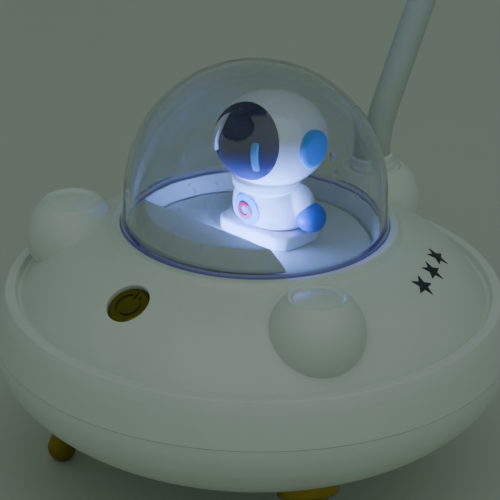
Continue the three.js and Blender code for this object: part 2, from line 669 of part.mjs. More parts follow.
function headShell() {
  const profile = [
    [0, 7], [10, 6.7], [18, 5.6], [24.5, 3.4], [28.6, 0.4], [HEAD_R, -2.6], [HEAD_R, -4.2],
    [28.4, -4.2], [28.2, -2.4], [27, 0], [23.4, 2.2], [17.4, 4], [10, 5], [0, 5.2],
  ];
  const neckBore = rod([0, 24, HEAD_RISE], [0, 40, HEAD_RISE], NECK_R + GAP);
  const socket = rod([0, 26.4, HEAD_RISE], [0, 35, HEAD_RISE], 5.4, MIDDLE);
  const lowCut = box(-8, 8, 24, 40, -10, -4.2);
  return turned(profile, WIDE).add(socket).subtract(neckBore).subtract(lowCut);
}

add('head_shell', headShell(), whiteShell, head);
add('head_bezel', ring(27.4, HEAD_R, -6, -4.5, WIDE), gold, head);
add('head_diffuser', disc(27.1, -5.7, -4.4, WIDE), frosted, head);
add('head_board', disc(22, -0.6, 0.6, MIDDLE), board, head);
add('head_light_ring', ring(11, 19, -1.6, -0.8, MIDDLE), frosted, head);

export default lamp;
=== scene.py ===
# %% [markdown]
# # A saucer-shaped desk lamp and night light
#
# The lamp is a white plastic saucer on three gold legs. A clear dome covers a small cockpit, where a toy
# astronaut stands on a block and a hidden row of light-emitting diodes shines on it. Three round pods stand
# on the saucer's slope, and the one at the back carries a bendable neck with a round lamp head.
#
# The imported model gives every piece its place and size. The shells there are made of flat facets, which is
# right for collision and mass. Here each piece that shows is modelled again with a smooth surface and takes
# the place of its faceted twin.

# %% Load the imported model
import math

import bpy
from mathutils import Matrix, Vector, geometry


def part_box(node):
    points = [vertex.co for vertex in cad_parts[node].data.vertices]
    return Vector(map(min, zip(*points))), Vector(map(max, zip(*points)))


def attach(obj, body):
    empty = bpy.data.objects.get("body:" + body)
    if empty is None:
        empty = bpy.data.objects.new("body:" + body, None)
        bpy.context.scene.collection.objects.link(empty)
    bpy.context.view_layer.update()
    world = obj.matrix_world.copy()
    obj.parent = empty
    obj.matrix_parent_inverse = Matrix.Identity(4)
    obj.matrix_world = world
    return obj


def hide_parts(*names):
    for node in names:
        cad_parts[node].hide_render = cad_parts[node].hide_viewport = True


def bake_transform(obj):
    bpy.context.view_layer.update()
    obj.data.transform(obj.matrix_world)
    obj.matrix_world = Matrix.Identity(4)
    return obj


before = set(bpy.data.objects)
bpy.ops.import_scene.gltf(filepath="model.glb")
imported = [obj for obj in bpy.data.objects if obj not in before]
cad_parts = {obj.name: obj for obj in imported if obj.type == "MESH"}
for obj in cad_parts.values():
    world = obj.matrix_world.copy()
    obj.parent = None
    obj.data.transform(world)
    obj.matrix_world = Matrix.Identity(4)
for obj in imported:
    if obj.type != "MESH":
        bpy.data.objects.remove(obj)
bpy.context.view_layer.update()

# %% [markdown]
# ## Camera
#
# The view looks down on the lamp from its front right, about 24 degrees above the table. A long lens from
# 0.8 m away keeps the saucer's ellipse as flat as it looks to somebody sitting at the desk.

# %% Camera
MM = 0.001
CAMERA_PLACE = (0.454783, -0.519494, 0.388847)
CAMERA_TURN = (65.116, -0.972, 41.751)  # degrees about x, y and z: tilt, roll and heading
CAMERA_LENS = 210.2

deg = math.radians
bpy.ops.object.camera_add(location=CAMERA_PLACE, rotation=[deg(a) for a in CAMERA_TURN])
camera = bpy.context.object
camera.data.lens = CAMERA_LENS
camera.data.clip_start = 0.01
bpy.context.scene.camera = camera
print("camera distance from the saucer's axis:", round(math.hypot(*CAMERA_PLACE[:2]), 3), "m")

# %% [markdown]
# ## Light
#
# The room is dim, so that the light in the cockpit carries the picture. One very wide soft box hangs on the
# right, like a ceiling under a window, so nothing sharp is mirrored in the dome. The even green-grey of the
# world fills the rest, as pale walls do. The cockpit's own light is a small cold area lamp at the face of the
# diode strip, behind the console's flat back. It is aimed a little up, so it grazes the deck.

# %% Room light and cockpit light
def linear(code):
    """An sRGB colour such as "E6E9E4" as the linear values that Blender's sockets take."""
    parts = [int(code[i : i + 2], 16) / 255 for i in (0, 2, 4)]
    return [p / 12.92 if p <= 0.04045 else ((p + 0.055) / 1.055) ** 2.4 for p in parts] + [1.0]


def soft_box(name, place, aim, size, watts, colour):
    bpy.ops.object.light_add(type="AREA", location=place)
    lamp = bpy.context.object
    lamp.name = name
    lamp.data.shape = "RECTANGLE"
    lamp.data.size, lamp.data.size_y = size
    lamp.data.energy = watts
    lamp.data.color = linear(colour)[:3]
    direction = Vector(aim) - Vector(place)
    lamp.rotation_euler = direction.to_track_quat("-Z", "Y").to_euler()
    return lamp


soft_box("room_key", (0.9, -0.8, 1.9), (0, 0, 0.08), (3.0, 3.0), 12, "ECFFF4")

strip_low, strip_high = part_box("cockpit_light")
STRIP_CENTRE = (strip_low + strip_high) / 2
strip_face = Vector((STRIP_CENTRE.x, strip_high.y + 4 * MM, STRIP_CENTRE.z - 0.5 * MM))
cockpit_lamp = soft_box(
    "cockpit_lamp", strip_face, strip_face + Vector((0, 1, 0.15)), (17 * MM, 1.6 * MM), 0.042, "6A90FF"
)
cockpit_lamp.data.spread = deg(176)
strip_end = Vector((21 * MM, -11 * MM, STRIP_CENTRE.z))
strip_glow = soft_box("cockpit_glow", strip_end, (4 * MM, -5 * MM, 97 * MM), (4 * MM, 4 * MM), 0.013, "6F96FF")
strip_glow.data.spread = deg(110)
strip_glow.visible_glossy = strip_glow.visible_transmission = False
for lamp in (cockpit_lamp, strip_glow):
    lamp.visible_camera = False
world = bpy.data.worlds.new("dim_room")
bpy.context.scene.world = world
world.use_nodes = True
world.node_tree.nodes["Background"].inputs["Color"].default_value = linear("DEF7EA")
world.node_tree.nodes["Background"].inputs["Strength"].default_value = 0.19
print("cockpit light at", [round(v / MM, 1) for v in strip_face], "mm")

# %% [markdown]
# ## Helpers for materials
#
# One function adds a node with its settings and links. A second one makes a moulded or painted plastic from
# it, because most pieces here are plastic and differ only in colour, gloss and the size of their grain.
# Their patterns read Object coordinates, which are metres, so a scale of 1000 means one wave a millimetre.

# %% Node helper and plastic
def add_node(tree, kind, inputs=None, **settings):
    """Adds a node. An input may be a value or another node's output."""
    made = tree.nodes.new(kind)
    for key, value in settings.items():
        setattr(made, key, value)
    for socket, value in (inputs or {}).items():
        if isinstance(value, bpy.types.NodeSocket):
            tree.links.new(value, made.inputs[socket])
        else:
            made.inputs[socket].default_value = value
    return made


def new_material(name):
    material = bpy.data.materials.new(name)
    material.use_nodes = True
    tree = material.node_tree
    return material, tree, tree.nodes["Principled BSDF"]


def waves_per_mm(grain_mm):
    """The noise scale whose blotches are about that many millimetres wide."""
    return 1 / (grain_mm * MM)


def plastic(name, colour, shade, gloss, grain_mm=0.35, relief_mm=0.004, mottle_mm=14, ior=1.5, coat=0.0):
    """Moulded or painted plastic: colour with a slow drift to shade, roughness from gloss[0] to gloss[1]."""
    material, tree, surface = new_material(name)
    place = add_node(tree, "ShaderNodeTexCoord").outputs["Object"]
    mottle = add_node(
        tree, "ShaderNodeTexNoise", {"Vector": place, "Scale": waves_per_mm(mottle_mm), "Detail": 4.0}
    )
    tint = add_node(
        tree,
        "ShaderNodeMix",
        {"Factor": mottle.outputs["Fac"], "A": linear(colour), "B": linear(shade)},
        data_type="RGBA",
    )
    for socket, value in ((tint.inputs[6], linear(colour)), (tint.inputs[7], linear(shade))):
        socket.default_value = value
    tree.links.new(tint.outputs[2], surface.inputs["Base Color"])
    grain = add_node(
        tree, "ShaderNodeTexNoise", {"Vector": place, "Scale": waves_per_mm(grain_mm), "Detail": 3.0}
    )
    shine = add_node(
        tree,
        "ShaderNodeMapRange",
        {"Value": mottle.outputs["Fac"], "From Min": 0.3, "From Max": 0.7, "To Min": gloss[0], "To Max": gloss[1]},
    )
    tree.links.new(shine.outputs["Result"], surface.inputs["Roughness"])
    relief = add_node(
        tree, "ShaderNodeBump", {"Height": grain.outputs["Fac"], "Strength": 1.0, "Distance": relief_mm * MM}
    )
    tree.links.new(relief.outputs["Normal"], surface.inputs["Normal"])
    surface.inputs["IOR"].default_value = ior
    surface.inputs["Coat Weight"].default_value = coat
    return material


# %% [markdown]
# ## Plastics, paints and rubber
#
# - The shells are injection-moulded ABS with a satin face: a cool white, an even soft sheen and a grain of
#   about a third of a millimetre from the spark-eroded mould.
# - The figure is cast PVC under gloss paint, so its whites are cleaner and its highlights sharper.
# - The neck is a silicone sleeve: grey-white, matte, with a slight powdery bloom that a sheen gives.

# %% Plastics, paints and rubber
satin_abs = plastic("satin_moulded_abs", "E3E7E1", "DBE0DA", (0.34, 0.42), relief_mm=0.003)
deck_abs = plastic("plain_moulded_abs", "DADFD9", "D2D8D3", (0.42, 0.52), relief_mm=0.004)
gloss_pvc = plastic("gloss_painted_pvc", "F0F1F3", "E8EAEC", (0.16, 0.24), grain_mm=1.2, relief_mm=0.003, coat=0.3)
# One blue paint, two copies: painted light lightens the ear pads' copy, painted shade darkens the mittens'.
ear_blue_painted_light = plastic("gloss_blue_paint_lighter_painted_light", "14A0F6", "0C94EC", (0.3, 0.4), grain_mm=0.9, relief_mm=0.006)
mitten_blue_painted_shade = plastic("gloss_blue_paint_darker_painted_shade", "0060C4", "0056B8", (0.34, 0.44), grain_mm=0.9, relief_mm=0.006)
pale_paint = plastic("gloss_pale_blue_paint", "0096D4", "18A4DA", (0.25, 0.35), grain_mm=0.9)
cyan_paint = plastic("gloss_cyan_paint", "189CD2", "1290C6", (0.25, 0.35), grain_mm=0.9)
red_paint = plastic("gloss_red_paint", "C4003C", "B40034", (0.25, 0.35), grain_mm=0.9)
white_paint = plastic("gloss_white_paint", "FBFCFD", "F2F4F6", (0.2, 0.3), grain_mm=0.9)
pad_ink = plastic("pad_printed_black_ink", "202B30", "27333A", (0.5, 0.62), grain_mm=0.2, relief_mm=0.002)
black_plastic = plastic("black_moulded_nylon", "1A1B1D", "222427", (0.45, 0.6))
solder_mask = plastic("green_solder_mask", "1C5A38", "174B30", (0.3, 0.4))
shrink_wrap = plastic("blue_shrink_wrap", "2A6FB0", "2463A0", (0.25, 0.35))
frosted = plastic("frosted_acrylic", "F3F5F8", "EDF0F4", (0.5, 0.6), grain_mm=0.25, relief_mm=0.006)

silicone = plastic("matte_silicone", "BEC4BE", "B6BDB7", (0.58, 0.7), grain_mm=0.6, relief_mm=0.005, mottle_mm=9)
silicone_surface = silicone.node_tree.nodes["Principled BSDF"]
silicone_surface.inputs["Sheen Weight"].default_value = 0.12
silicone_surface.inputs["Sheen Roughness"].default_value = 0.5

# %% [markdown]
# ## Gold plating and zinc-plated steel
#
# The legs and the button are plated. Real gold plating on plastic or zinc reads as a deep olive gold in a dim
# room, because a mirror shows its surroundings. A metal's colour is its base colour, and a fine brushed noise
# in the roughness keeps the highlights from looking like chrome.

# %% Metals
def plated(name, colour, shade, gloss, streak):
    """Plated metal. streak stretches the polishing marks along z."""
    material, tree, surface = new_material(name)
    place = add_node(tree, "ShaderNodeTexCoord").outputs["Object"]
    polish = add_node(tree, "ShaderNodeMapping", {"Vector": place, "Scale": (1.0, 1.0, streak)})
    marks = add_node(
        tree, "ShaderNodeTexNoise", {"Vector": polish.outputs["Vector"], "Scale": waves_per_mm(0.5), "Detail": 5.0}
    )
    bloom = add_node(tree, "ShaderNodeTexNoise", {"Vector": place, "Scale": waves_per_mm(4), "Detail": 3.0})
    tint = add_node(tree, "ShaderNodeMix", {"Factor": bloom.outputs["Fac"]}, data_type="RGBA")
    tint.inputs[6].default_value, tint.inputs[7].default_value = linear(colour), linear(shade)
    tree.links.new(tint.outputs[2], surface.inputs["Base Color"])
    shine = add_node(
        tree, "ShaderNodeMapRange", {"Value": marks.outputs["Fac"], "To Min": gloss[0], "To Max": gloss[1]}
    )
    tree.links.new(shine.outputs["Result"], surface.inputs["Roughness"])
    relief = add_node(
        tree, "ShaderNodeBump", {"Height": marks.outputs["Fac"], "Strength": 0.6, "Distance": 0.004 * MM}
    )
    tree.links.new(relief.outputs["Normal"], surface.inputs["Normal"])
    surface.inputs["Metallic"].default_value = 1.0
    return material


gold_plate = plated("satin_gold_plating", "AC983E", "988430", (0.22, 0.42), 0.2)
button_gold = plated("brushed_gold_plating", "8C8430", "6A6420", (0.2, 0.4), 1.0)
zinc_steel = plated("zinc_plated_steel", "A8AAAC", "989A9C", (0.3, 0.45), 1.0)

# %% [markdown]
# ## Clear polystyrene, visor and diode strip
#
# The dome is blown from clear polystyrene, about 1.5 mm thick. It bends light a little at its edge, carries
# fine scratches from handling, and shows two moulding blisters on one side. The faint violet glow at its
# foot, where light from the strip runs down inside the wall and leaves, is painted light: a lavender tint in
# the base colour and a weak emission near the foot. It doesn't block the lamps: rays that only ask whether a
# lamp is in sight pass it by the Light Path node, as they pass a real thin wall.
# The visor is deep blue lacquer with a fine pearl. Towards its lower edge the pearl is painted paler: painted
# light for the strip shining on it from below.

# %% Clear and glowing materials
def clear_polystyrene():
    material, tree, surface = new_material("blown_clear_polystyrene")
    place = add_node(tree, "ShaderNodeTexCoord").outputs["Object"]
    stretched = add_node(tree, "ShaderNodeMapping", {"Vector": place, "Scale": (1.0, 3.0, 0.25), "Rotation": (0.5, 0.9, 0.3)})
    hair = add_node(
        tree, "ShaderNodeTexNoise", {"Vector": stretched.outputs["Vector"], "Scale": waves_per_mm(2.2), "Detail": 6.0}
    )
    scratch = add_node(
        tree,
        "ShaderNodeMapRange",
        {"Value": hair.outputs["Fac"], "From Min": 0.66, "From Max": 0.7, "To Min": 0.0, "To Max": 1.0},
    )
    ripple = add_node(tree, "ShaderNodeTexNoise", {"Vector": place, "Scale": waves_per_mm(16), "Detail": 2.0})
    ripples = add_node(
        tree, "ShaderNodeBump", {"Height": ripple.outputs["Fac"], "Strength": 0.5, "Distance": 0.25 * MM}
    )
    relief = add_node(
        tree,
        "ShaderNodeBump",
        {"Height": scratch.outputs["Result"], "Strength": 0.35, "Distance": 0.01 * MM, "Normal": ripples.outputs["Normal"]},
    )
    tree.links.new(relief.outputs["Normal"], surface.inputs["Normal"])
    haze = add_node(
        tree, "ShaderNodeMapRange", {"Value": scratch.outputs["Result"], "To Min": 0.02, "To Max": 0.22}
    )
    tree.links.new(haze.outputs["Result"], surface.inputs["Roughness"])
    # Painted light: near the foot the base colour turns lavender and the wall emits a faint violet light.
    low = add_node(tree, "ShaderNodeSeparateXYZ", {"Vector": place})
    foot = add_node(
        tree,
        "ShaderNodeMapRange",
        {"Value": low.outputs["Z"], "From Min": 78.2 * MM, "From Max": 76.8 * MM, "To Min": 0.0, "To Max": 1.0},
    )
    tint = add_node(tree, "ShaderNodeMix", {"Factor": foot.outputs["Result"]}, data_type="RGBA")
    tint.inputs[6].default_value, tint.inputs[7].default_value = linear("ECEFF1"), linear("C4BEEA")
    tree.links.new(tint.outputs[2], surface.inputs["Base Color"])
    painted_glow_strength = add_node(tree, "ShaderNodeMath", {0: foot.outputs["Result"], 1: 0.018}, operation="MULTIPLY")
    tree.links.new(painted_glow_strength.outputs["Value"], surface.inputs["Emission Strength"])
    surface.inputs["Emission Color"].default_value = linear("6A62FF")
    smudge = add_node(tree, "ShaderNodeTexNoise", {"Vector": place, "Scale": waves_per_mm(11), "Detail": 5.0})
    film = add_node(
        tree,
        "ShaderNodeMapRange",
        {"Value": smudge.outputs["Fac"], "From Min": 0.42, "From Max": 0.72, "To Min": 0.993, "To Max": 0.965},
    )
    worn = add_node(
        tree, "ShaderNodeMath", {0: scratch.outputs["Result"], 1: -0.12, 2: film.outputs["Result"]}, operation="MULTIPLY_ADD"
    )
    tree.links.new(worn.outputs["Value"], surface.inputs["Transmission Weight"])
    surface.inputs["IOR"].default_value = 1.5
    ray = add_node(tree, "ShaderNodeLightPath")
    let_through = add_node(tree, "ShaderNodeBsdfTransparent", {"Color": linear("F4F6F8")})
    mix = add_node(
        tree,
        "ShaderNodeMixShader",
        {0: ray.outputs["Is Shadow Ray"], 1: surface.outputs["BSDF"], 2: let_through.outputs["BSDF"]},
    )
    tree.links.new(mix.outputs["Shader"], tree.nodes["Material Output"].inputs["Surface"])
    return material


def visor_lacquer():
    material, tree, surface = new_material("pearl_navy_lacquer_with_painted_underlight")
    place = add_node(tree, "ShaderNodeTexCoord").outputs["Object"]
    pearl = add_node(tree, "ShaderNodeTexNoise", {"Vector": place, "Scale": waves_per_mm(0.3), "Detail": 2.0})
    height = add_node(tree, "ShaderNodeSeparateXYZ", {"Vector": place})
    # Painted light: the pearl turns paler towards the lower edge, where the strip shines up on the visor.
    low = add_node(
        tree,
        "ShaderNodeMapRange",
        {"Value": height.outputs["Z"], "From Min": 98 * MM, "From Max": 91 * MM, "To Min": 0.0, "To Max": 1.0},
    )
    painted_underlight = add_node(
        tree, "ShaderNodeMath", {0: pearl.outputs["Fac"], 1: low.outputs["Result"]}, operation="MULTIPLY"
    )
    tint = add_node(tree, "ShaderNodeMix", {"Factor": painted_underlight.outputs["Value"]}, data_type="RGBA")
    tint.inputs[6].default_value, tint.inputs[7].default_value = linear("0A124C"), linear("5652A0")
    tree.links.new(tint.outputs[2], surface.inputs["Base Color"])
    shine = add_node(tree, "ShaderNodeMapRange", {"Value": pearl.outputs["Fac"], "To Min": 0.4, "To Max": 0.62})
    tree.links.new(shine.outputs["Result"], surface.inputs["Roughness"])
    surface.inputs["Specular IOR Level"].default_value = 0.06
    return material


def diode_strip():
    material, tree, surface = new_material("lit_diode_strip")
    place = add_node(tree, "ShaderNodeTexCoord").outputs["Object"]
    dots = add_node(tree, "ShaderNodeTexNoise", {"Vector": place, "Scale": waves_per_mm(2), "Detail": 1.0})
    power = add_node(tree, "ShaderNodeMapRange", {"Value": dots.outputs["Fac"], "To Min": 2.0, "To Max": 6.0})
    tree.links.new(power.outputs["Result"], surface.inputs["Emission Strength"])
    surface.inputs["Emission Color"].default_value = linear("D3DEFF")
    surface.inputs["Base Color"].default_value = linear("F2F5FF")
    return material


polystyrene = clear_polystyrene()
navy_lacquer = visor_lacquer()
lit_strip = diode_strip()
print(len(bpy.data.materials), "materials")

# %% [markdown]
# ## Helpers for modelling
#
# Most pieces of a moulded lamp are turned shapes: a profile spun round an axis. `turn` starts from a small
# plane merged to one vertex, extrudes that vertex along the profile, and spins the line. `rounded` gives a
# profile its moulded corners, and `flowing` draws a smooth line through a few points.

# %% Modelling helpers
def deselect():
    bpy.ops.object.select_all(action="DESELECT")


def only(piece):
    """Makes piece the one selected and active object."""
    deselect()
    piece.select_set(True)
    bpy.context.view_layer.objects.active = piece
    return piece


def rounded(corners, parts=5):
    """A profile from (r, z) corners. A third number is the corner's fillet radius."""
    line = []
    for i, corner in enumerate(corners):
        here = Vector(corner[:2])
        if len(corner) == 2 or i in (0, len(corners) - 1):
            line.append(here)
            continue
        before = (Vector(corners[i - 1][:2]) - here).normalized()
        after = (Vector(corners[i + 1][:2]) - here).normalized()
        half = before.angle(after) / 2
        reach = corner[2] / math.tan(half)
        middle = here + (before + after).normalized() * corner[2] / math.sin(half)
        first, last = here + before * reach - middle, here + after * reach - middle
        sweep = first.angle(last)
        for k in range(parts + 1):
            t = k / parts
            spoke = first * math.sin((1 - t) * sweep) + last * math.sin(t * sweep)
            line.append(middle + spoke / math.sin(sweep))
    return line


def flowing(points, parts=5):
    """A smooth line through the points."""
    points = [Vector(p) for p in points]
    line = [points[0]]
    for i in range(len(points) - 1):
        a, b = points[i], points[i + 1]
        before, after = points[max(i - 1, 0)], points[min(i + 2, len(points) - 1)]
        line += geometry.interpolate_bezier(a, a + (b - before) / 6, b - (after - a) / 6, b, parts + 1)[1:]
    return line


def arc(radius, z, start, end, parts=24):
    """Part of a circle round (0, z), from start to end degrees above the horizon."""
    angles = [deg(start + (end - start) * k / parts) for k in range(parts + 1)]
    return [Vector((radius * math.cos(a), z + radius * math.sin(a))) for a in angles]


def smooth(piece, angle=32):
    only(piece)
    bpy.ops.object.shade_smooth_by_angle(angle=deg(angle))
    return piece


def turn(name, profile, steps=128, x=0.0, y=0.0, sweep=360):
    """Spins a profile of (r, z) in millimetres round the upright line through (x, y)."""
    deselect()
    bpy.ops.mesh.primitive_plane_add(size=MM)
    piece = bpy.context.object
    piece.name = name
    bpy.ops.object.mode_set(mode="EDIT")
    bpy.ops.mesh.select_mode(type="VERT")
    bpy.ops.mesh.select_all(action="SELECT")
    bpy.ops.mesh.merge(type="CENTER")
    places = [Vector((x + p[0], y, p[1])) * MM for p in profile]
    bpy.ops.transform.translate(value=places[0])
    for here, there in zip(places, places[1:]):
        bpy.ops.mesh.extrude_region_move(TRANSFORM_OT_translate={"value": there - here})
    bpy.ops.mesh.select_all(action="SELECT")
    bpy.ops.mesh.spin(steps=steps, angle=deg(sweep), center=(x * MM, y * MM, 0), axis=(0, 0, 1))
    bpy.ops.mesh.select_all(action="SELECT")
    bpy.ops.mesh.remove_doubles(threshold=1e-6)
    bpy.ops.mesh.normals_make_consistent(inside=False)
    bpy.ops.object.mode_set(mode="OBJECT")
    return smooth(piece)


def apply_place(piece):
    """Puts the object's turn and place into its mesh."""
    only(piece)
    bpy.ops.object.transform_apply(location=True, rotation=True, scale=True)
    return piece


def put(piece, matrix):
    piece.matrix_world = matrix
    return apply_place(piece)


def modify(piece, kind, **settings):
    """Adds a modifier and applies it."""
    only(piece)
    made = piece.modifiers.new(kind.lower(), kind)
    for key, value in settings.items():
        setattr(made, key, value)
    bpy.ops.object.modifier_apply(modifier=made.name)
    return piece


def carve(piece, tool, operation="DIFFERENCE", keep_tool=False):
    """Cuts, joins or keeps the common part of two closed solids."""
    modify(piece, "BOOLEAN", object=tool, operation=operation, solver="MANIFOLD")
    if not keep_tool:
        bpy.data.objects.remove(tool)
    return piece


def rod(name, low, high, radius, vertices=48):
    """A cylinder between two points in millimetres."""
    low, high = Vector(low) * MM, Vector(high) * MM
    deselect()
    bpy.ops.mesh.primitive_cylinder_add(
        radius=radius * MM, depth=(high - low).length, vertices=vertices, location=(low + high) / 2
    )
    piece = bpy.context.object
    piece.name = name
    piece.rotation_euler = (high - low).to_track_quat("Z", "Y").to_euler()
    return apply_place(piece)


def block(name, low, high):
    """A box between two corners in millimetres."""
    low, high = Vector(low) * MM, Vector(high) * MM
    deselect()
    bpy.ops.mesh.primitive_cube_add(size=1, location=(low + high) / 2, scale=high - low)
    piece = bpy.context.object
    piece.name = name
    return apply_place(piece)


def ellipsoid(name, centre, radii, detail=5):
    """A round solid with even square faces: a cube, subdivided and cast to a sphere, then stretched."""
    deselect()
    bpy.ops.mesh.primitive_cube_add(size=2)
    piece = bpy.context.object
    piece.name = name
    modify(piece, "SUBSURF", levels=detail, render_levels=detail, subdivision_type="SIMPLE")
    modify(piece, "CAST", cast_type="SPHERE", factor=1.0, use_radius_as_size=False, size=1.0)
    stretch = Matrix.Diagonal([r * MM for r in radii] + [1.0])
    return smooth(put(piece, Matrix.Translation(Vector(centre) * MM) @ stretch))


def soften(piece, voxel_mm, rounds):
    """Remeshes a cut solid to even small faces and relaxes its edges, as a mould's edges are."""
    modify(piece, "REMESH", mode="VOXEL", voxel_size=voxel_mm * MM)
    modify(piece, "SMOOTH", factor=0.5, iterations=rounds)
    return smooth(piece, 60)


def copy_of(piece, name):
    deselect()
    twin = piece.copy()
    twin.data = piece.data.copy()
    twin.name = name
    bpy.context.scene.collection.objects.link(twin)
    return twin


def grown(piece, amount_mm):
    """A copy whose surface lies that much further out."""
    return modify(copy_of(piece, "grown"), "DISPLACE", strength=amount_mm * MM, mid_level=0.0)


def inlay(tool, surface, low_mm, high_mm):
    """Keeps the part of tool between two heights over a surface: a thin skin of the tool's outline."""
    carve(tool, grown(surface, high_mm), "INTERSECT")
    return carve(tool, grown(surface, low_mm))


def paint(piece, material):
    piece.data.materials.clear()
    piece.data.materials.append(material)
    return piece


def finish(piece, material, slot_name, body, *nodes):
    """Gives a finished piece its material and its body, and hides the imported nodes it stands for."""
    paint(piece, material)
    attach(piece, body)
    if nodes:
        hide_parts(*nodes)
    return piece


# %% [markdown]
# ## Saucer shells
#
# The saucer is two injection-moulded shells that meet at a seam round its widest part. The upper one slopes
# down from the dome's seat to a gutter and then rises to a soft round rim. The lower one is a shallow bowl,
# with a tongue that centres it in the upper. Each is turned as a closed wall about 2 mm thick.

# %% Upper shell
SEAT_Z = 77
SEAM_Z = 46.2
SEAM_R = 68.1
slope = flowing([(38.3, 75.3), (42, 73.4), (47.7, 70.2), (52, 67.2), (55.5, 64), (58.4, 60.5), (60.5, 57.5)])
rim = rounded(
    [(60.5, 57.5), (61.0, 56.8, 0.5), (61.9, 56.9, 0.35), (62.4, 58.75, 0.4), (65.0, 58.35, 0.7), (66.3, 55.4)]
)
flank = flowing([rim[-1], (67.15, 52), (67.7, 49), (SEAM_R, SEAM_Z + 0.06)])
slope_and_rim = [*slope[:-1], *rim[:-1], *flank]
seat_lip = rounded([(35.05, 74.2), (35.05, SEAT_Z - 0.1, 0.25), (37.2, SEAT_Z - 0.25, 0.8), (38.3, 75.3)])
upper_inside = [
    (66.1, 46.35), (66.1, 49), (65.2, 52), (63.9, 55.2), (61, 54.8), (58.6, 56.7), (54.6, 61.7),
    (50.7, 65.5), (46.6, 68.4), (41, 71.5), (35.05, 74.2),
]
upper = turn("saucer_upper_shell", [*seat_lip[:-1], *slope_and_rim, *upper_inside], steps=192)

# %% Button hole
BUTTON_R = 5.5
BUTTON_CENTRE = Vector((0, -47.7, 70.2)) * MM
BUTTON_TILT = 28
button_frame = Matrix.Translation(BUTTON_CENTRE) @ Matrix.Rotation(deg(BUTTON_TILT), 4, "X")
HOLE_CHAMFER = 0.25
hole_profile = [
    (0, -6), (BUTTON_R + 0.25, -6), (BUTTON_R + 0.25, -0.2), (BUTTON_R + 0.25 + HOLE_CHAMFER, 0.1),
    (BUTTON_R + 1.4, 1.2), (0, 1.2),
]
carve(upper, put(turn("button_hole", hole_profile, steps=96), button_frame))
smooth(upper)
finish(upper, satin_abs, "white_shell", "root", "upper_shell")
print("upper shell:", len(upper.data.polygons), "faces")

# %% Lower shell
bowl = flowing(
    [
        (SEAM_R, SEAM_Z - 0.06), (67.9, 42.5), (66.5, 38.4), (64.3, 35.2), (61.4, 32.1), (57.8, 29.3),
        (53.6, 26.7), (48.8, 24.4), (43, 22.6), (36, 21.4), (28, 21.05), (14, 21), (0, 21),
    ]
)
lower_inside = [
    (0, 23), (28, 23), (35.6, 23.4), (42.3, 24.6), (50, 27.2), (56.5, 31), (61.4, 35.2), (64.3, 39.6),
    (64.4, 41), (64.4, 48.6), (65.8, 48.6), (65.8, 46.05), (SEAM_R, SEAM_Z - 0.06),
]
lower = turn("saucer_lower_shell", [*bowl, *lower_inside], steps=192)

# %% [markdown]
# Underneath, three deep counterbores take the screws that hold the shells together, and a slot at the back
# lets the charging socket through. The bosses inside carry the screws.

# %% Screw wells and charging slot
BOSS_R = 54
BOSS_ANGLES = (0, 120, 240)
bowl_solid = turn("bowl_solid", [*bowl, (0, 44), (62, 44), (SEAM_R, SEAM_Z - 0.06)], steps=192)
for angle in BOSS_ANGLES:
    place = Matrix.Rotation(deg(angle), 3, "Z") @ Vector((BOSS_R, 0, 0))
    boss = turn("boss", rounded([(0, 26.6), (4.2, 26.6), (5, 29.5), (5, 33.7, 0.4), (0, 33.7)]), 48, place.x, place.y)
    carve(boss, bowl_solid, "INTERSECT", keep_tool=True)
    carve(lower, boss, "UNION")
    well = turn(
        "well", rounded([(0, 18), (3.2, 18), (3.2, 30.6, 0.3), (1.8, 30.6), (1.8, 36), (0, 36)]), 48, place.x, place.y
    )
    carve(lower, well)
bpy.data.objects.remove(bowl_solid)

SOCKET_Z = 42.6
SLOT_HALF_WIDTH, SLOT_R = 2.9, 1.9
slot = block("slot", (-SLOT_HALF_WIDTH, 55, SOCKET_Z - SLOT_R), (SLOT_HALF_WIDTH, 80, SOCKET_Z + SLOT_R))
for side in (-1, 1):
    end = rod("slot_end", (side * SLOT_HALF_WIDTH, 55, SOCKET_Z), (side * SLOT_HALF_WIDTH, 80, SOCKET_Z), SLOT_R)
    carve(slot, end, "UNION")
carve(lower, slot)
smooth(lower)
finish(lower, satin_abs, "white_shell", "root", "lower_shell")
print("lower shell:", len(lower.data.polygons), "faces")

# %% [markdown]
# ## Pods
#
# Three round pods are separate caps glued on the slope. Each is a ball with a thin raised ridge round its top
# and a shallow button of the same plastic crowned inside the ridge. They sink a little into the shell here, which
# gives the same clean line where ball and slope meet.

# %% Pods
POD_R = 12.3
POD_Z = 68
POD_TOP = 77.3
POD_OUT = 49
SPOKES = {"left": 210, "right": 330, "back": 90}
RING_R = 7.8
ring_z = POD_Z + math.sqrt(POD_R**2 - RING_R**2)
pod_side = arc(POD_R, POD_Z, -72, math.degrees(math.asin((ring_z - POD_Z) / POD_R)), 40)
ridge = rounded(
    [
        (RING_R, ring_z), (RING_R - 0.3, ring_z + 0.35, 0.2), (RING_R - 0.8, ring_z + 0.35, 0.25),
        (RING_R - 1.5, ring_z - 0.35, 0.5), (RING_R - 2.6, ring_z - 0.1),
    ]
)
cap = flowing([ridge[-1], (3.6, ring_z + 0.35), (1.8, ring_z + 0.6), (0, ring_z + 0.68)])
pod_profile = [(0, pod_side[0].y), *pod_side[:-1], *ridge[:-1], *cap]
for side, angle in SPOKES.items():
    place = Matrix.Rotation(deg(angle), 3, "Z") @ Vector((POD_OUT, 0, 0))
    pod = turn(f"pod_{side}", pod_profile, 96, place.x, place.y)
    finish(pod, satin_abs, "white_shell", "root", f"pod_cap_{side}")

# %% [markdown]
# ## Clear dome
#
# The dome is one blown piece: a hemisphere on a short straight skirt, with a thicker foot ring that drops
# into the saucer's seat. Both faces of its wall are modelled, because the bright and dark lines near a clear
# dome's edge come from light passing through two surfaces.

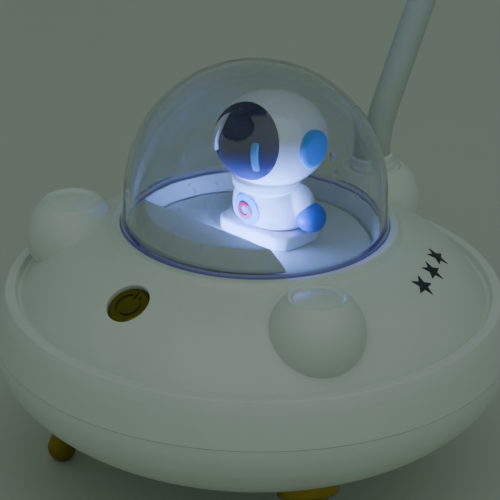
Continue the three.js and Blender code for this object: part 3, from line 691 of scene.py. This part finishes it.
# %% Dome
DOME_R = 34.2
DOME_WALL = 1.5
SKIRT_TOP = 85.7
FOOT_OUT, FOOT_IN, FOOT_Z = 34.9, 33.1, 75.5
dome_foot = rounded(
    [(FOOT_IN, FOOT_Z), (FOOT_OUT, FOOT_Z), (FOOT_OUT, 77.6, 0.8), (DOME_R + 0.25, 78.8, 2.5), (DOME_R, SKIRT_TOP)]
)
outer_arc = arc(DOME_R, SKIRT_TOP, 0, 90, 48)
inner_arc = arc(DOME_R - DOME_WALL, SKIRT_TOP, 90, 0, 48)
for curve, end in ((outer_arc, -1), (inner_arc, 0)):
    curve[end].x = 0
dome_profile = [*dome_foot[:-1], *outer_arc, *inner_arc, (FOOT_IN, 79), (FOOT_IN, FOOT_Z)]
dome = turn("clear_dome", dome_profile, 160)
for centre, radii in (((27.9, -3.3, 104.2), (0.9, 0.9, 1.3)), ((29.9, -4.9, 100.3), (0.6, 0.6, 0.8))):
    carve(dome, ellipsoid("blister", centre, radii, 4), "UNION")
smooth(dome, 40)
finish(dome, polystyrene, "clear_dome", "root", "dome")

# %% [markdown]
# ## Cockpit
#
# Under the dome a shallow tub holds a flat deck with a dark groove round it. The console is a segment of a
# turned ring with a flat back, which hides the diode strip from the front. The figure's block stands behind
# it. All of them are the same plain moulded plastic.

# %% Tub and deck
tub_profile = rounded(
    [
        (0, 68.8), (33, 68.8), (34.2, 71.2), (38, 71.2), (38, 72.2), (34.9, 73.8), (34.9, 75.4), (33, 75.4),
        (33, 76.9, 0.25), (32.3, 76.9, 0.25), (31.2, 72.2, 0.4), (31.2, 70.2), (0, 70.2),
    ]
)
tub = finish(turn("cockpit_tub_wall", tub_profile, 160), deck_abs, "white_shell", "root", "cockpit_tub")
DECK_Z = 72.3
deck_profile = rounded([(0, 70.4), (30.2, 70.4), (30.2, DECK_Z, 0.5), (0, DECK_Z)])
deck = finish(turn("cockpit_floor", deck_profile, 160), deck_abs, "white_shell", "root", "cockpit_deck")

# %% Console
CONSOLE_BACK = 18.8
CONSOLE_TOP = 82.4
console_profile = rounded(
    [
        (0, DECK_Z + 0.3), (29.8, DECK_Z + 0.3), (30.5, SEAT_Z + 0.2), (33.0, SEAT_Z + 0.2, 0.35),
        (32.6, SEAT_Z + 1.6, 0.4), (28.8, CONSOLE_TOP, 0.7), (0, CONSOLE_TOP),
    ]
)
console = turn("cockpit_console", console_profile, 160)
only(console)
bpy.ops.object.mode_set(mode="EDIT")
bpy.ops.mesh.select_all(action="SELECT")
bpy.ops.mesh.bisect(
    plane_co=(0, -CONSOLE_BACK * MM, 0), plane_no=(0, 1, 0), use_fill=True, clear_outer=True, clear_inner=False
)
bpy.ops.object.mode_set(mode="OBJECT")
modify(console, "BEVEL", width=0.3 * MM, segments=3, limit_method="ANGLE", angle_limit=deg(50))
smooth(console, 40)
finish(console, deck_abs, "white_shell", "root", "console")

# %% [markdown]
# The block is a low prism with a flat front and a pointed back. Its outline is drawn by extruding one vertex
# from corner to corner, closed and filled, and extruded up. Bevels soften its edges as the mould does.

# %% Figure's block
PLINTH_TOP = 76
plinth_corners = [(9.4, -2.8), (11.6, -0.9), (12.4, 3.5), (12.4, 10), (10.4, 14.8), (6.5, 17.6)]
plinth_outline = plinth_corners + [(-x, y) for x, y in reversed(plinth_corners)]


def prism(name, outline, low, high):
    """A flat outline in x and y, filled and raised from low to high, in millimetres."""
    deselect()
    bpy.ops.mesh.primitive_plane_add(size=MM)
    piece = bpy.context.object
    piece.name = name
    bpy.ops.object.mode_set(mode="EDIT")
    bpy.ops.mesh.select_mode(type="VERT")
    bpy.ops.mesh.select_all(action="SELECT")
    bpy.ops.mesh.merge(type="CENTER")
    places = [Vector((x, y, low)) * MM for x, y in outline]
    bpy.ops.transform.translate(value=places[0])
    for here, there in zip(places, places[1:]):
        bpy.ops.mesh.extrude_region_move(TRANSFORM_OT_translate={"value": there - here})
    bpy.ops.mesh.select_all(action="SELECT")
    bpy.ops.mesh.edge_face_add()
    bpy.ops.mesh.extrude_region_move(TRANSFORM_OT_translate={"value": (0, 0, (high - low) * MM)})
    bpy.ops.mesh.select_all(action="SELECT")
    bpy.ops.mesh.normals_make_consistent(inside=False)
    bpy.ops.object.mode_set(mode="OBJECT")
    return piece


plinth = prism("figure_block", plinth_outline, DECK_Z + 0.1, PLINTH_TOP)
modify(plinth, "BEVEL", width=0.75 * MM, segments=5, limit_method="ANGLE", angle_limit=deg(15))
finish(smooth(plinth, 30), gloss_pvc, "white_figure", "root", "plinth")

# %% [markdown]
# ## The astronaut
#
# The toy is plain: a rounded body, a wide collar, an oval helmet with a dark visor, ear pads and mittens. The
# body starts as an ellipse of 32 points, extruded row by row and resized to the torso's outline. The arms are
# stretched balls. A voxel remesh joins them, and a few rounds of smoothing give the soft creases of cast PVC.

# %% Torso and arms
torso_rows = [  # z, centre y, half width, half depth
    (76.1, 6.5, 10.0, 7.7), (76.6, 6.5, 10.5, 8.3), (77.8, 6.4, 10.9, 8.8), (79.8, 6.2, 11.0, 9.0),
    (82.2, 6.0, 10.5, 8.9), (84.6, 5.7, 9.6, 8.5), (86.6, 5.4, 8.4, 7.8),
]


def row_stack(name, rows, vertices=48):
    """Extrudes an ellipse upwards through rows of (z, centre y, half width, half depth) in millimetres."""
    z, y, wide, deep = rows[0]
    deselect()
    bpy.ops.mesh.primitive_circle_add(vertices=vertices, radius=MM, fill_type="NGON", location=(0, y * MM, z * MM))
    piece = bpy.context.object
    piece.name = name
    bpy.ops.object.mode_set(mode="EDIT")
    bpy.ops.mesh.select_all(action="SELECT")
    bpy.ops.transform.resize(value=(wide, deep, 1), center_override=(0, y * MM, z * MM))
    for (z0, y0, w0, d0), (z1, y1, w1, d1) in zip(rows, rows[1:]):
        step = Vector((0, y1 - y0, z1 - z0)) * MM
        bpy.ops.mesh.extrude_region_move(TRANSFORM_OT_translate={"value": step})
        bpy.ops.transform.resize(value=(w1 / w0, d1 / d0, 1), center_override=(0, y1 * MM, z1 * MM))
    bpy.ops.mesh.select_all(action="SELECT")
    bpy.ops.mesh.normals_make_consistent(inside=False)
    bpy.ops.object.mode_set(mode="OBJECT")
    return apply_place(piece)


body = row_stack("figure_torso", torso_rows)
arm_places = {"left": ((10.4, 6.6, 83.3), 24, 0), "right": ((-10.0, 8.0, 83.3), -20, 14)}
for side, (centre, lean, swing) in arm_places.items():
    arm = ellipsoid(f"arm_{side}", (0, 0, 0), (3.1, 3.3, 5.2), 4)
    turned = Matrix.Rotation(deg(-lean), 4, "Y") @ Matrix.Rotation(deg(swing), 4, "X")
    put(arm, Matrix.Translation(Vector(centre) * MM) @ turned)
    carve(body, arm, "UNION")
soften(body, 0.28, 6)
finish(body, gloss_pvc, "white_figure", "root", "figure_body")

# %% Collar ring
HELMET_Y = 5.5
collar_ring_profile = rounded(
    [(4, 85.9), (8.3, 85.9, 0.4), (9.3, 86.9, 0.7), (9.3, 88.8, 0.7), (8.6, 89.8, 0.6), (4, 90.4), (4, 85.9)]
)
collar_ring = turn("figure_collar", collar_ring_profile, 96, 0, HELMET_Y - 0.9)
finish(collar_ring, gloss_pvc, "white_figure", "root", "figure_neck_ring")

# %% [markdown]
# ## Helmet and visor
#
# The helmet is an oval ball, wider than it is high. A shallow oval recess in its front holds the visor. The
# recess tool is an oval bar with a slightly smaller helmet cut out of it, so the recess has an even depth.
# The visor is the same bar cut to a thin skin that follows the helmet.

# %% Helmet and visor
HELMET_CENTRE = (0.3, HELMET_Y, 99)
HELMET_RADII = (14.8, 14.8, 12.4)
VISOR_Z = 100.5
helmet = ellipsoid("figure_helmet_shell", HELMET_CENTRE, HELMET_RADII, 6)


def oval_bar(name, half_width, half_height, z, front=-12):
    bar = rod(name, (0, front, 0), (0, HELMET_Y, 0), 1, 96)
    stretch = Matrix.Diagonal((half_width, 1, half_height, 1))
    return put(bar, Matrix.Translation((0.1 * MM, 0, z * MM)) @ stretch)


visor = inlay(oval_bar("figure_visor_skin", 10.9, 9.4, VISOR_Z), helmet, -0.75, 0.12)
recess = oval_bar("recess", 11.1, 9.6, VISOR_Z)
carve(recess, grown(helmet, -0.7))
carve(helmet, recess)
smooth(helmet, 35)
finish(helmet, gloss_pvc, "white_figure", "root", "figure_helmet")
soften(visor, 0.16, 2)
finish(visor, navy_lacquer, "dark_visor", "root", "figure_visor")
print("helmet:", len(helmet.data.polygons), "faces; visor:", len(visor.data.polygons))

# %% [markdown]
# Two raised marks sit on the visor: an upright cyan dash and a white crescent at its edge, like a reflection
# painted on. Each is a solid with the mark's outline, cut down to a skin over the helmet's surface.

# %% Marks on the visor
face = ellipsoid("face_surface", HELMET_CENTRE, HELMET_RADII, 6)
dash = block("visor_dash", (-0.78, -12, -3.8), (0.78, HELMET_Y, 3.8))
modify(dash, "BEVEL", width=0.62 * MM, segments=4, limit_method="ANGLE")
put(dash, Matrix.Translation(Vector((6.6, 0, 99.2)) * MM) @ Matrix.Rotation(deg(-4), 4, "Y"))
inlay(dash, face, 0.15, 0.75)
soften(dash, 0.1, 3)
finish(dash, cyan_paint, "cyan_mark", "root", "visor_stripe")

moon = rod("visor_crescent_mark", (1.6, -12, 100.7), (1.6, HELMET_Y, 100.7), 9.3, 96)
carve(moon, rod("bite", (3.5, -12, 100.0), (3.5, HELMET_Y, 100.0), 9.3, 96))
window = block("window", (-20, -12, 98), (-5.0, HELMET_Y, 109))
carve(moon, window, "INTERSECT")
inlay(moon, face, 0.15, 1.5)
soften(moon, 0.1, 3)
finish(moon, white_paint, "white_mark", "root", "visor_crescent")
bpy.data.objects.remove(face)

# %% Ear pads
ear_profile = rounded([(0, -3.6), (4.9, -3.6), (4.95, 1.3, 0.6), (4.2, 1.9, 1.2), (0, 2.2)], 8)
for side, sign in (("left", 1), ("right", -1)):
    pad = turn(f"figure_ear_{side}", ear_profile, 72)
    place = Matrix.Translation(Vector((sign * 13.4 + 0.3, HELMET_Y + (-0.3 if sign > 0 else 3.0), 99.8)) * MM)
    put(pad, place @ Matrix.Rotation(deg(90 * sign), 4, "Y"))
    modify(pad, "SUBSURF", levels=1, render_levels=1)
    smooth(pad, 50)
    finish(pad, ear_blue_painted_light, "figure_blue", "root", f"ear_pad_{side}")

# %% [markdown]
# The mittens are cast balls, cut flat where the sleeve enters, with the cut's edge rounded a little.

# %% Mittens
mitten_places = {"left": ((13.2, 6.8, 79.9), -0.82), "right": ((-11.0, 10.6, 79.7), 0.82)}
for side, (centre, lean) in mitten_places.items():
    mitten = ellipsoid(f"figure_mitten_{side}", centre, (4.0, 4.0, 3.95), 5)
    to_sleeve = Vector((lean, -0.1, 0.57))
    only(mitten)
    bpy.ops.object.mode_set(mode="EDIT")
    bpy.ops.mesh.select_all(action="SELECT")
    bpy.ops.mesh.bisect(
        plane_co=Vector(centre) * MM + to_sleeve * 2.5 * MM, plane_no=to_sleeve, use_fill=True, clear_outer=True
    )
    bpy.ops.object.mode_set(mode="OBJECT")
    soften(mitten, 0.16, 2)
    finish(mitten, mitten_blue_painted_shade, "figure_blue", "root", f"glove_{side}")

# %% Chest marks
CHEST_Z = 80.8
CHEST_X = -0.9
panel = inlay(rod("chest_disc", (CHEST_X, -8, CHEST_Z), (CHEST_X, 4, CHEST_Z), 4.4, 96), body, 0.02, 0.4)
soften(panel, 0.12, 3)
finish(panel, pale_paint, "pale_blue", "root", "chest_panel")
badge = rod("chest_badge", (CHEST_X, -8, CHEST_Z), (CHEST_X, 4, CHEST_Z), 2.4, 96)
carve(badge, rod("badge_hole", (CHEST_X, -9, CHEST_Z), (CHEST_X, 5, CHEST_Z), 1.25, 64))
inlay(badge, body, 0.38, 0.75)
soften(badge, 0.1, 3)
finish(badge, red_paint, "red_mark", "root", "chest_ring")

# %% [markdown]
# ## Power button
#
# The button is a gold disc a millimetre below the shell's face, with a soft bevel at its edge and the usual power
# mark engraved in it: a ring with a gap and a short bar. The bar points up the slope to the dome.

# %% Power button
button_profile = rounded(
    [
        (0, -6.6), (2, -6.6), (2, -4.2), (6.5, -4.2), (6.5, -3.3), (BUTTON_R, -3.3),
        (BUTTON_R, -1.15, 0.35), (4.8, -0.85, 0.4), (4.2, -0.92, 0.5), (2.4, -0.95, 1.0), (0, -1.25),
    ]
)
button = turn("power_button_cap", button_profile, 96)
MARK_DEPTH = 1.3
groove_profile = [(2.95, -MARK_DEPTH), (3.5, -MARK_DEPTH), (3.9, 0.6), (2.6, 0.6), (2.95, -MARK_DEPTH)]
groove = turn("mark_ring", groove_profile, 96)
carve(groove, block("mark_gap", (-1.05, 1.5, -2), (1.05, 6, 2)))
carve(button, groove)
carve(button, block("mark_bar", (-0.3, 2.0, -MARK_DEPTH), (0.3, 4.2, 1)))
modify(button, "BEVEL", width=0.1 * MM, segments=3, limit_method="ANGLE", angle_limit=deg(50))
smooth(button, 40)
put(button, button_frame)
finish(button, button_gold, "gold_button", "power_button", "power_button")

# %% [markdown]
# ## Legs
#
# Each leg is a turned post: a round flange against the bowl, a hollow curve into a slim shaft, and a bullet
# tip with a small flat that meets the table. One leg is modelled upright and copied to its three places.

# %% Legs
LEG_OUT, LEG_TOP_Z, LEG_SPLAY = 45.4, 23.2, 20
LEG_TIP_R = 3.9
LEG_REACH = 20.954
leg_shaft = flowing([(5.9, 3.05), (5.1, 3.9), (4.6, 5.4), (4.3, 8), (4.1, 11.5), (LEG_TIP_R, 15), (LEG_TIP_R, LEG_REACH)])
leg_flange = rounded([(0, -2.2), (8, -2.2), (8, 2.15, 0.5), (7.3, 2.75, 0.4), (5.9, 3.05)])
leg_tip = arc(LEG_TIP_R, LEG_REACH, 0, 90, 16)
leg_tip[-1].x = 0
leg_profile = [*leg_flange[:-1], *leg_shaft[:-1], *leg_tip]
for side, angle in SPOKES.items():
    leg = turn(f"leg_post_{side}", leg_profile, 72)
    tilt = Matrix.Translation(Vector((LEG_OUT, 0, LEG_TOP_Z)) * MM) @ Matrix.Rotation(deg(180 - LEG_SPLAY), 4, "Y")
    put(leg, Matrix.Rotation(deg(angle), 4, "Z") @ tilt)
    only(leg)
    bpy.ops.object.mode_set(mode="EDIT")
    bpy.ops.mesh.select_all(action="SELECT")
    bpy.ops.mesh.bisect(plane_co=(0, 0, 0), plane_no=(0, 0, 1), use_fill=True, clear_inner=True, clear_outer=False)
    bpy.ops.object.mode_set(mode="OBJECT")
    smooth(leg, 40)
    finish(leg, gold_plate, "gold_plate", "root", f"leg_{side}")

# %% [markdown]
# ## Gooseneck
#
# Inside the neck a steel spiral holds whatever bend it is given, under a smooth silicone sleeve. The sleeve
# is cut here into one length for each bending point. They meet half way between bending points, where
# nothing bends, so the sleeve looks whole in every pose.

# %% The neck's centre line
NECK_R = 3.75
NECK_LEAN, NECK_DROOP = 28, 15
NECK_RISE, NECK_ARC_R = 54, 80.4
NECK_HINGES = [12, 50, 88, 126, 164, 202]
NECK_LENGTH = NECK_RISE + NECK_ARC_R * deg(90 + NECK_DROOP + NECK_LEAN)


def neck_angle(s):
    """Lean back from the vertical at a length s along the neck."""
    if s < NECK_RISE:
        t = min(max((s - 1) / 20, 0), 1)
        return deg(NECK_LEAN) * t * t * (3 - 2 * t)
    return deg(NECK_LEAN) - (s - NECK_RISE) / NECK_ARC_R


def neck_line(end, step=0.5):
    """The neck's centre line as (length, point) from the back pod's top."""
    y, z, s = POD_OUT, POD_TOP, 0.0
    line = [(0.0, Vector((0, y, z)) * MM)]
    while s < end:
        angle = neck_angle(s + step / 2)
        y, z, s = y + math.sin(angle) * step, z + math.cos(angle) * step, s + step
        line.append((s, Vector((0, y, z)) * MM))
    return line


centre_line = neck_line(NECK_LENGTH)


def neck_point(s):
    return min(centre_line, key=lambda mark: abs(mark[0] - s))[1]


print("neck:", round(NECK_LENGTH, 1), "mm long, tip at", [round(v / MM, 1) for v in neck_point(NECK_LENGTH)])


# %% Sleeve
def sleeve(name, start, end):
    """A closed tube along the neck's centre line, made as a bevelled curve and turned into a mesh."""
    points = [neck_point(start + (end - start) * k / 40) for k in range(41)]
    deselect()
    bpy.ops.curve.primitive_bezier_curve_add()
    curve = bpy.context.object
    curve.name = name
    curve.data.splines.clear()
    spline = curve.data.splines.new("POLY")
    spline.points.add(len(points) - 1)
    for knot, place in zip(spline.points, points):
        knot.co = (*place, 1.0)
    curve.data.bevel_depth = NECK_R * MM
    curve.data.bevel_resolution = 10
    curve.data.use_fill_caps = True
    bpy.ops.object.convert(target="MESH")
    tube = bpy.context.object
    bpy.ops.object.mode_set(mode="EDIT")
    bpy.ops.mesh.select_all(action="SELECT")
    bpy.ops.mesh.remove_doubles(threshold=1e-6)
    bpy.ops.mesh.normals_make_consistent(inside=False)
    bpy.ops.object.mode_set(mode="OBJECT")
    return smooth(apply_place(tube), 50)


joins = [0] + [(a + b) / 2 for a, b in zip(NECK_HINGES, NECK_HINGES[1:])] + [NECK_LENGTH]
for i, hinge in enumerate(NECK_HINGES):
    length = paint(sleeve(f"neck_sleeve_{i + 1}", joins[i], joins[i + 1]), silicone)
    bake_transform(length)
    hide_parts(f"neck_link_{i + 1}", *(["neck_root"] if i == 0 else []))

# %% Neck collar
neck_collar_profile = rounded(
    [
        (NECK_R + 0.1, POD_TOP - 0.5), (5.2, POD_TOP - 0.5), (5.2, POD_TOP + 1.3, 0.4), (4.75, POD_TOP + 2, 0.8),
        (4.6, POD_TOP + 3.6, 0.5), (NECK_R + 0.1, POD_TOP + 4.2), (NECK_R + 0.1, POD_TOP - 0.5),
    ]
)
neck_collar = turn("neck_foot_collar", neck_collar_profile, 72, 0, POD_OUT)
finish(neck_collar, satin_abs, "white_shell", "root", "neck_collar")

# %% [markdown]
# ## Lamp head
#
# The head is a flat round shell with a frosted window in a gold ring. A short spigot at its back takes the
# neck. It is modelled level at the origin and then tilted with the neck's tip.

# %% Lamp head
HEAD_R = 30
HEAD_OFFSET, HEAD_RISE = 33, 1
tip = neck_point(NECK_LENGTH) / MM
droop = deg(NECK_DROOP)
head_place = Vector(
    (
        0,
        tip.y - HEAD_OFFSET * math.cos(droop) + HEAD_RISE * math.sin(droop),
        tip.z - HEAD_OFFSET * math.sin(droop) - HEAD_RISE * math.cos(droop),
    )
)
head_frame = Matrix.Translation(head_place * MM) @ Matrix.Rotation(droop, 4, "X")
crown = flowing([(0, 7), (10, 6.7), (18, 5.6), (24.5, 3.4), (28.6, 0.2), (HEAD_R, -2.8), (HEAD_R, -4.2)])
head_inside = [(28.4, -4.2), (28.2, -2.4), (27, 0), (23.4, 2.2), (17.4, 4), (10, 5), (0, 5.2)]
head = turn("head_cover", [*crown, *head_inside], 144)
spigot = turn("spigot", rounded([(0, 0), (5.4, 0), (5.4, 8.4, 0.5), (0, 8.4)]), 64)
spigot_place = Matrix.Translation(Vector((0, 26.6, HEAD_RISE)) * MM) @ Matrix.Rotation(deg(-90), 4, "X")
put(spigot, spigot_place)
carve(head, spigot, "UNION")
carve(head, rod("neck_bore", (0, 31, HEAD_RISE), (0, 40, HEAD_RISE), NECK_R + 0.1))
smooth(put(head, head_frame), 35)
finish(head, satin_abs, "white_shell", "neck_6", "head_shell")

bezel_profile = rounded(
    [(27.4, -4.5), (HEAD_R, -4.5), (HEAD_R, -5.6, 0.4), (29.4, -6.05, 0.3), (27.9, -6.05, 0.3), (27.4, -5.3), (27.4, -4.5)]
)
bezel = put(turn("head_ring", bezel_profile, 144), head_frame)
finish(bezel, gold_plate, "gold_button", "neck_6", "head_bezel")
diffuser_profile = rounded([(0, -4.4), (27.1, -4.4), (27.1, -5.4, 0.3), (20, -5.7, 6), (0, -5.75)])
diffuser = put(turn("head_window", diffuser_profile, 144), head_frame)
finish(diffuser, frosted, "light_diffuser", "neck_6", "head_diffuser")

# %% [markdown]
# ## Printed mark
#
# The real saucer carries dark pad-printed lettering on its right side. Lettering is left out here. Three
# plain stars of the same ink and about the same size stand in its place. Each star is a five-pointed prism
# stood on the slope and cut down to a skin a tenth of a millimetre thick.

# %% Three printed stars
STAR_PLACES = [(14.0, 48.2), (24.3, 47.7), (34.6, 47.5)]  # angle and radius
STAR_SIZE, SLOPE = 3.5, 32
for k, (angle, out) in enumerate(STAR_PLACES):
    corners = []
    for j in range(10):
        reach = STAR_SIZE if j % 2 == 0 else STAR_SIZE * 0.42
        corners.append((reach * math.cos(deg(36 * j)), reach * math.sin(deg(36 * j))))
    star = prism(f"printed_star_{k + 1}", corners, -1.0, 1.0)
    z = 70.2 + (47.7 - out) * 0.56
    lean = Matrix.Translation(Vector((out, 0, z)) * MM) @ Matrix.Rotation(deg(SLOPE), 4, "Y")
    put(star, Matrix.Rotation(deg(angle), 4, "Z") @ lean)
    inlay(star, upper, 0.005, 0.1)
    paint(star, pad_ink)
    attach(star, "root")

# %% [markdown]
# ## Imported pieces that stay
#
# Screws, boards, the cell and its cradle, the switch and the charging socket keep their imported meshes. Most
# are out of sight inside the saucer. They get real finishes all the same.

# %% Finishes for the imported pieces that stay
kept_finishes = {
    zinc_steel: ["ballast_plate", "charging_socket", "neck_nut"]
    + [f"leg_screw_{side}" for side in SPOKES]
    + [f"case_screw_{k}" for k in (1, 2, 3)],
    black_plastic: ["switch_plunger", "button_switch", "cell_cradle"],
    solder_mask: ["button_board", "main_board", "cockpit_light_board", "head_board"],
    shrink_wrap: ["battery_cell"],
    frosted: ["head_light_ring"],
    lit_strip: ["cockpit_light"],
}
for material, names in kept_finishes.items():
    for name in names:
        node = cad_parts[name]
        node.data.materials.clear()
        node.data.materials.append(material)

# %% [markdown]
# ## Table
#
# The lamp stands on a plain pale table that runs out of the picture on every side.

# %% Table
deselect()
bpy.ops.mesh.primitive_plane_add(size=8)
table = bpy.context.object
table.name = "table"
table.data.materials.append(plastic("pale_table_paint", "C9CDC4", "C1C6BC", (0.7, 0.8), grain_mm=2, mottle_mm=120))
